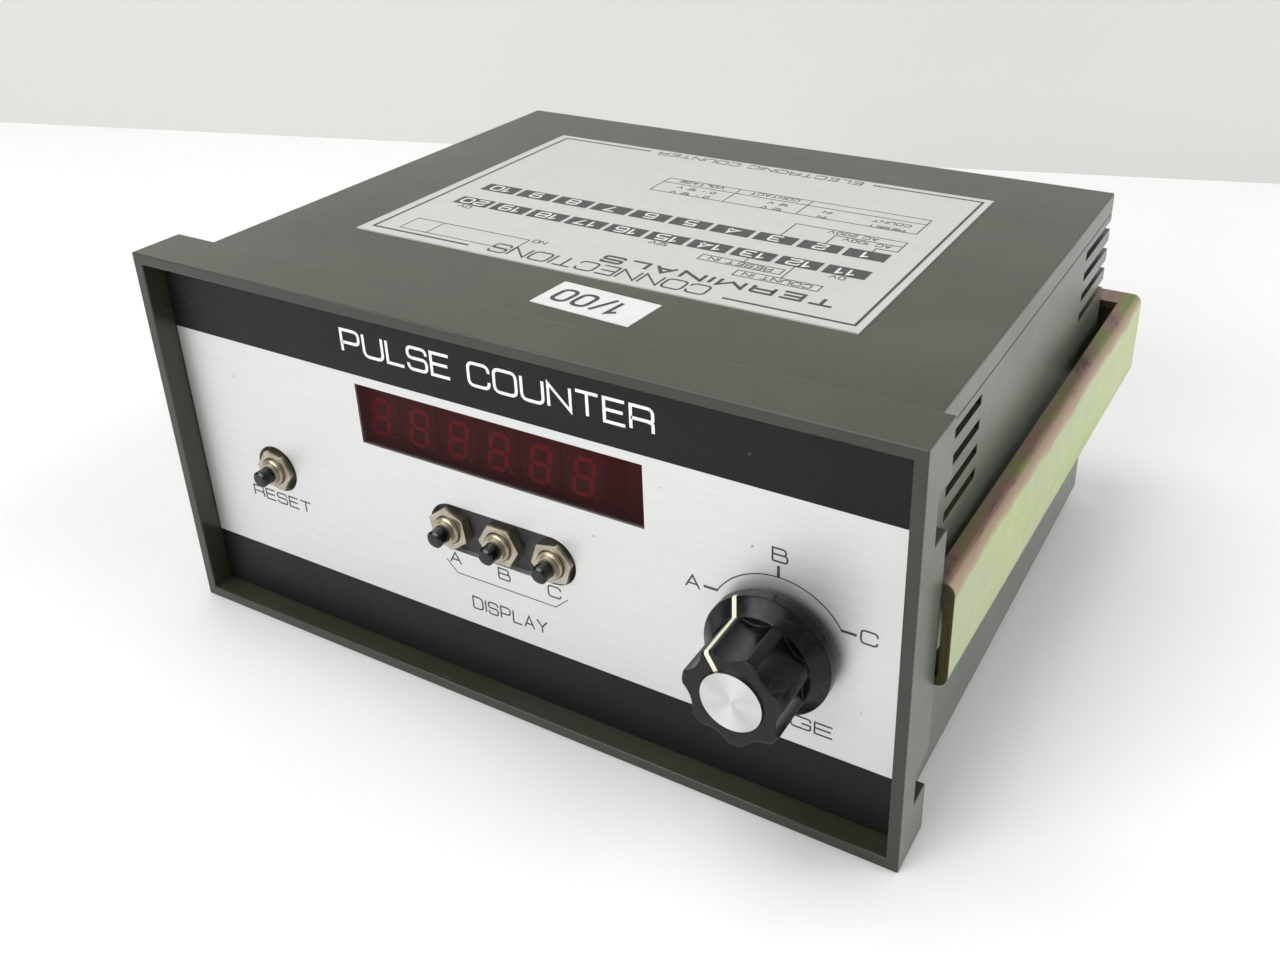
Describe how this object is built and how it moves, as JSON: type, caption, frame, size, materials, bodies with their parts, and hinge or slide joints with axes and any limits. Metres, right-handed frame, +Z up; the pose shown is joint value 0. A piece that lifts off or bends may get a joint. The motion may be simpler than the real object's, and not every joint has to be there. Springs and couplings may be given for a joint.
{
  "type": "panel-mounting electronic counter",
  "caption": "Panel counter with recessed display and control face, push buttons, rotary range switch, rear terminals and sliding clamp brackets.",
  "frame": {"origin": "centre of the base of the bounding box, in the plane of the bezel's bottom face", "axes": "+X to the right as seen from the front, +Y to the rear (the control face looks along -Y), +Z up"},
  "size_m": [0.1512, 0.1376, 0.072],
  "materials": {
    "case_plastic": "satin moulded, dark olive grey",
    "plate_silver": "brushed, with two black printed bands",
    "window_red": "smoked dark red filter",
    "panel_black": "satin",
    "label_foil": "printed foil",
    "sticker_paper": "matt",
    "board_green": "glass epoxy board",
    "digit_red": "unlit seven-segment module",
    "switch_black": "moulded",
    "nickel": "dull nickel plate",
    "button_black": "polished",
    "spring_steel": "spring wire",
    "rotary_brown": "phenolic",
    "brass": "machined",
    "steel": "zinc plated",
    "knob_black": "worn phenolic",
    "knob_aluminium": "spun face",
    "pointer_ivory": "filled line",
    "header_plastic": "moulded header",
    "core_steel": "varnished laminations",
    "coil_tape": "tape over winding",
    "capacitor_sleeve": "sleeved can",
    "chip_black": "moulded package",
    "fuse_glass": "clear",
    "terminal_black": "phenolic",
    "terminal_nickel": "nickel plate",
    "zinc_yellow": "yellow chromate over zinc"
  },
  "bodies": {
    "case": {"bezel_frame": "case_plastic", "front_plate": "plate_silver", "display_window": "window_red", "sub_panel": "panel_black", "top_cover": "case_plastic", "lower_case": "case_plastic", "rear_panel": "case_plastic", "case_screws": "steel", "connection_label": "label_foil", "date_sticker": "sticker_paper", "display_board": "board_green", "digit_modules": "digit_red", "display_spacers": "brass", "switch_board": "board_green", "switch_housings": "switch_black", "switch_bushings": "nickel", "switch_nuts": "nickel", "spring_reset": "spring_steel", "spring_a": "spring_steel", "spring_b": "spring_steel", "spring_c": "spring_steel", "rotary_housing": "rotary_brown", "rotary_bushing": "brass", "rotary_nut": "nickel", "main_board": "board_green", "board_standoffs": "case_plastic", "board_screws": "steel", "board_link": "header_plastic", "transformer_core": "core_steel", "transformer_coil": "coil_tape", "capacitors": "capacitor_sleeve", "logic_chips": "chip_black", "fuse_tube": "fuse_glass", "fuse_clips": "brass", "terminal_block": "terminal_black", "terminal_plates": "terminal_nickel", "terminal_screws": "terminal_nickel"},
    "knob": {"knob_body": "knob_black", "rotary_shaft": "steel", "knob_disc": "knob_aluminium", "knob_pointer": "pointer_ivory", "knob_set_screw": "steel"},
    "button_reset": {"button_reset": "button_black"},
    "button_a": {"button_a": "button_black"},
    "button_b": {"button_b": "button_black"},
    "button_c": {"button_c": "button_black"},
    "bracket_right": {"bracket_right": "zinc_yellow"},
    "bracket_left": {"bracket_left": "zinc_yellow"},
    "clamp_screw_right": {"clamp_screw_right": "steel"},
    "clamp_screw_left": {"clamp_screw_left": "steel"}
  },
  "joints": [
    {"name": "knob_turn", "type": "hinge", "parent": "case", "child": "knob", "pos_m": [0.05, -0.0581, 0.0316], "axis": [0, 1, 0], "range_deg": [-30, 90]},
    {"name": "button_reset_press", "type": "slide", "parent": "case", "child": "button_reset", "axis": [0, 1, 0], "range_m": [0, 0.0015], "stiffness_N_per_m": 400, "springref_m": -0.001, "deforming": ["spring_reset"]},
    {"name": "button_a_press", "type": "slide", "parent": "case", "child": "button_a", "axis": [0, 1, 0], "range_m": [0, 0.0015], "stiffness_N_per_m": 400, "springref_m": -0.001, "deforming": ["spring_a"]},
    {"name": "button_b_press", "type": "slide", "parent": "case", "child": "button_b", "axis": [0, 1, 0], "range_m": [0, 0.0015], "stiffness_N_per_m": 400, "springref_m": -0.001, "deforming": ["spring_b"]},
    {"name": "button_c_press", "type": "slide", "parent": "case", "child": "button_c", "axis": [0, 1, 0], "range_m": [0, 0.0015], "stiffness_N_per_m": 400, "springref_m": -0.001, "deforming": ["spring_c"]},
    {"name": "bracket_right_slide", "type": "slide", "parent": "case", "child": "bracket_right", "axis": [0, 1, 0], "range_m": [0, 0.006]},
    {"name": "clamp_screw_right_turn", "type": "hinge", "parent": "bracket_right", "child": "clamp_screw_right", "pos_m": [0.0635, 0.0659, 0.0367], "axis": [0, 1, 0], "range_deg": [0, 3086]},
    {"name": "bracket_left_slide", "type": "slide", "parent": "case", "child": "bracket_left", "axis": [0, 1, 0], "range_m": [0, 0.006]},
    {"name": "clamp_screw_left_turn", "type": "hinge", "parent": "bracket_left", "child": "clamp_screw_left", "pos_m": [-0.0635, 0.0659, 0.0367], "axis": [0, 1, 0], "range_deg": [0, 3086]}
  ],
  "couplings": [
    {"joint": "clamp_screw_right_turn", "follows": "bracket_right_slide", "rad_per_m": 8976},
    {"joint": "clamp_screw_left_turn", "follows": "bracket_left_slide", "rad_per_m": 8976}
  ]
}
